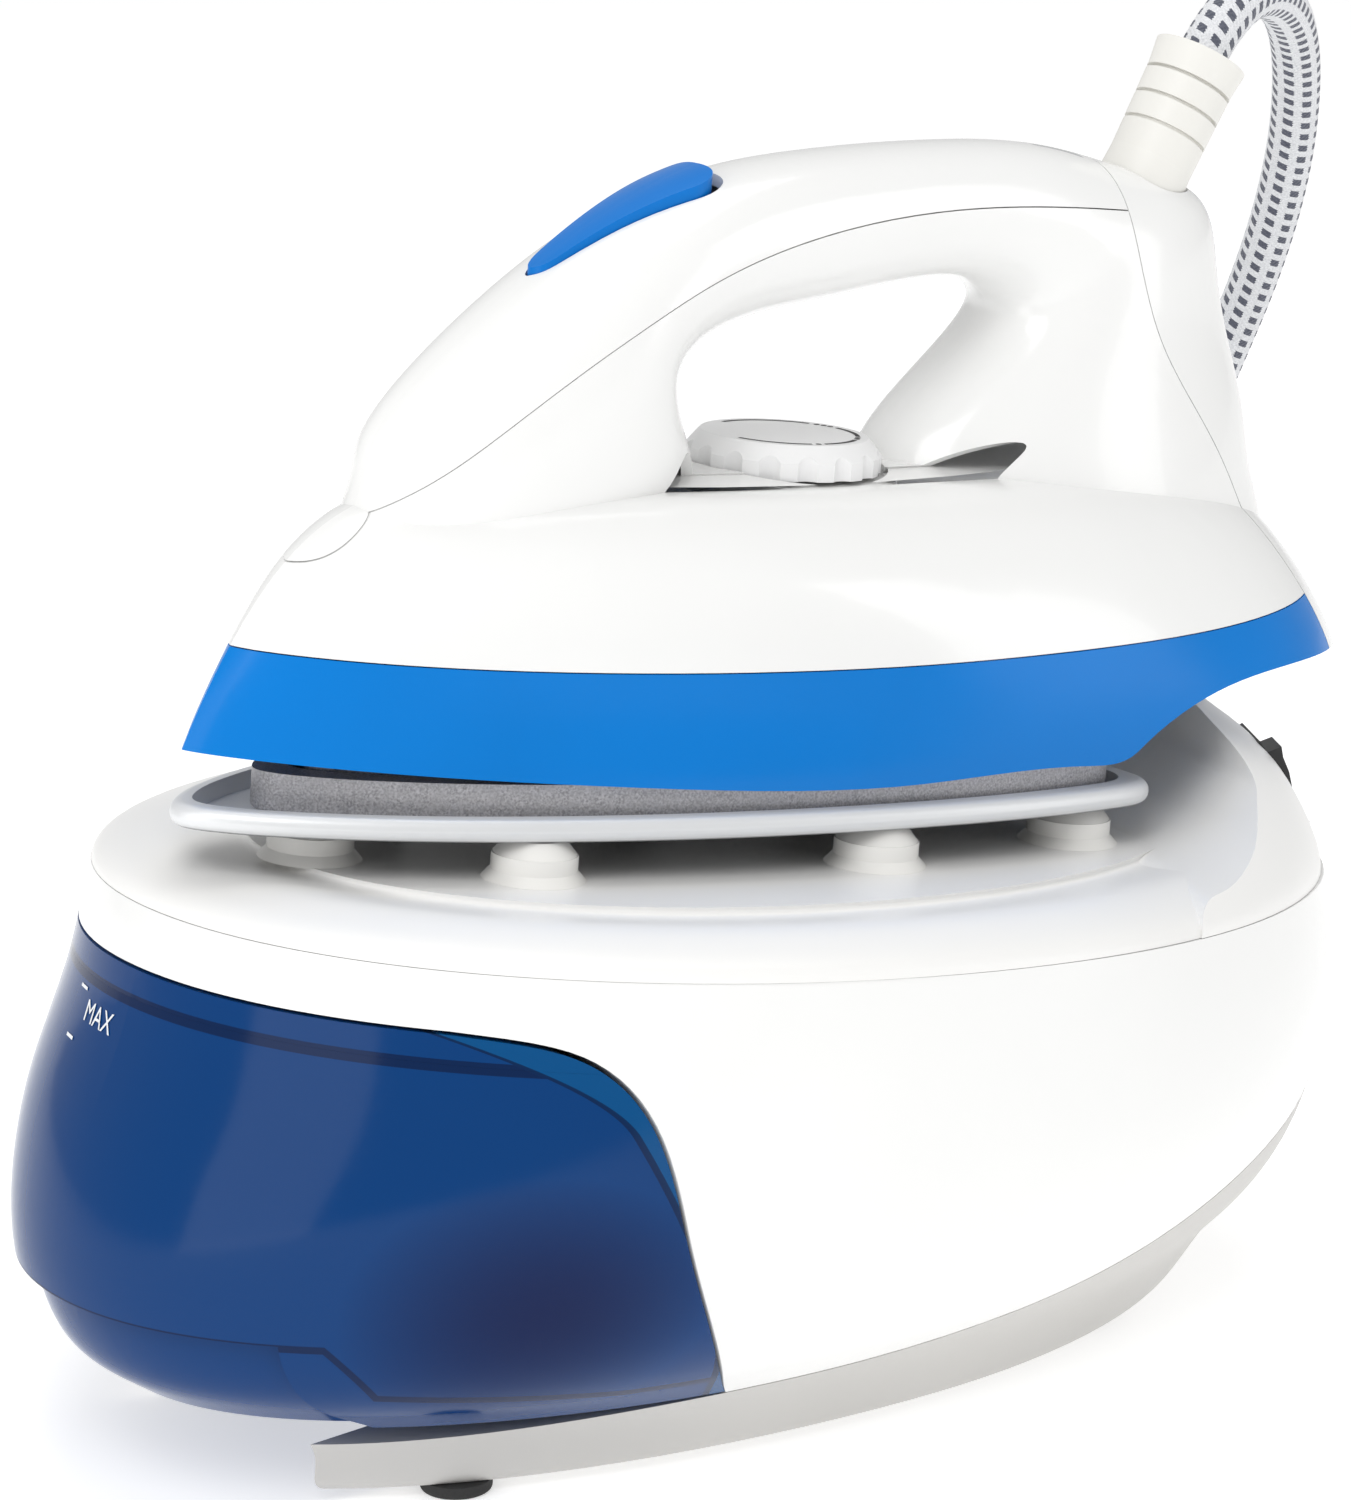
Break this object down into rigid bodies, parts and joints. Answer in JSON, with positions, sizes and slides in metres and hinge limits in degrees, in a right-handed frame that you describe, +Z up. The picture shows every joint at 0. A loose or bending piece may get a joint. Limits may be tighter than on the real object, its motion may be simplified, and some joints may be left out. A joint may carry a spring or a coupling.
{
  "type": "steam ironing station",
  "caption": "Compact steam ironing station: an iron with dial and steam trigger on a sloping rest, over a base with a slide-out water tank, joined by a braided hose.",
  "frame": {"origin": "bottom centre of the part without its hose, on the table", "axes": "+Z up, +X from the iron's nose to its heel, +Y to the side where the hose lies"},
  "size_m": [0.395, 0.4143, 0.3083],
  "materials": {
    "grey_base": "warm light grey moulded plastic, satin",
    "rubber": "matt",
    "white_housing": "white, glossy",
    "peg_grey": "pale plastic, satin",
    "tray_metal": "dark coated steel with a bright rolled rim",
    "steel": "plain",
    "black_plastic": "black",
    "inner_plastic": "moulded",
    "brass": "turned",
    "tube_rubber": "silicone",
    "board_green": "circuit board",
    "boot_white": "off-white flexible plastic",
    "braid": "white woven braid with dark flecks",
    "blue_skirt": "azure blue, glossy",
    "lens": "silvery",
    "sole_metal": "cast, speckled at the edge, polished below",
    "blue_trigger": "azure blue, glossy",
    "dial_white": "white, satin",
    "azure_tank": "deep blue, slightly see-through, glossy",
    "azure_lid": "deep blue, glossy",
    "cap_grey": "satin"
  },
  "bodies": {
    "station": {"bottom_shell": "grey_base", "rubber_feet": "rubber", "side_housing": "white_housing", "top_cover": "white_housing", "tray_pegs": "peg_grey", "iron_rest_tray": "tray_metal", "tray_screws": "steel", "switch_frame": "black_plastic", "tank_socket": "inner_plastic", "boiler_pot": "steel", "boiler_lid": "steel", "boiler_heating_element": "steel", "boiler_bolts": "steel", "boiler_bracket": "steel", "pressure_relief_valve": "brass", "boiler_thermostat": "black_plastic", "steam_solenoid_valve": "black_plastic", "water_pump": "inner_plastic", "pump_cushions": "rubber", "pump_inlet_hose": "tube_rubber", "pump_outlet_hose": "tube_rubber", "control_board": "board_green", "steam_hose_gland": "boot_white", "mains_inlet_gland": "boot_white", "case_screws": "steel", "steam_hose_lower": "braid", "steam_hose_return": "braid", "steam_hose_coil": "braid"},
    "iron": {"skirt": "blue_skirt", "handle_top_cover": "white_housing", "main_housing": "white_housing", "rear_cover": "white_housing", "rear_cover_screw": "steel", "hose_boot": "boot_white", "trigger_spring": "steel", "trigger_switch": "black_plastic", "indicator_lens": "lens", "indicator_lamp": "lens", "soleplate": "sole_metal", "sole_heating_element": "steel", "steam_chamber_lid": "steel", "iron_thermostat": "black_plastic", "thermal_fuse": "steel", "heat_shield": "steel", "sole_screws": "steel", "steam_tube": "steel", "terminal_block": "black_plastic", "steam_hose_upper": "braid"},
    "trigger": {"steam_trigger": "blue_trigger"},
    "dial": {"temperature_dial": "dial_white", "dial_spindle": "steel"},
    "tank": {"water_tank": "azure_tank", "tank_lid": "azure_lid", "tank_valve_body": "inner_plastic", "tank_valve_spring": "steel"},
    "valve": {"tank_valve_poppet": "brass"},
    "cap": {"filler_cap": "cap_grey"},
    "rocker": {"power_rocker": "black_plastic"}
  },
  "joints": [
    {"name": "iron_lift", "type": "slide", "parent": "station", "child": "iron", "axis": [0, 0, 1], "range_m": [0, 0.08]},
    {"name": "trigger_press", "type": "hinge", "parent": "iron", "child": "trigger", "pos_m": [-0.04511, 0, 0.25149], "axis": [0, 1, 0], "range_deg": [0, 4.5], "stiffness_Nm_per_rad": 2, "deforming": ["trigger_spring"]},
    {"name": "dial_turn", "type": "hinge", "parent": "iron", "child": "dial", "pos_m": [0.02043, 0, 0.21175], "axis": [0.0854, 0, 0.9963], "range_deg": [0, 270]},
    {"name": "tank_slide", "type": "slide", "parent": "station", "child": "tank", "axis": [-1, 0, 0], "range_m": [0, 0.16]},
    {"name": "valve_lift", "type": "slide", "parent": "tank", "child": "valve", "axis": [-1, 0, 0], "range_m": [0, 0.002], "stiffness_N_per_m": 120},
    {"name": "cap_turn", "type": "hinge", "parent": "tank", "child": "cap", "pos_m": [-0.13286, 0, 0.11328], "axis": [0.0854, 0, 0.9963], "range_deg": [0, 90]},
    {"name": "rocker_tilt", "type": "hinge", "parent": "station", "child": "rocker", "pos_m": [0.14239, -0.03319, 0.11859], "axis": [0.4695, 0.8829, 0], "range_deg": [-14, 0]}
  ]
}
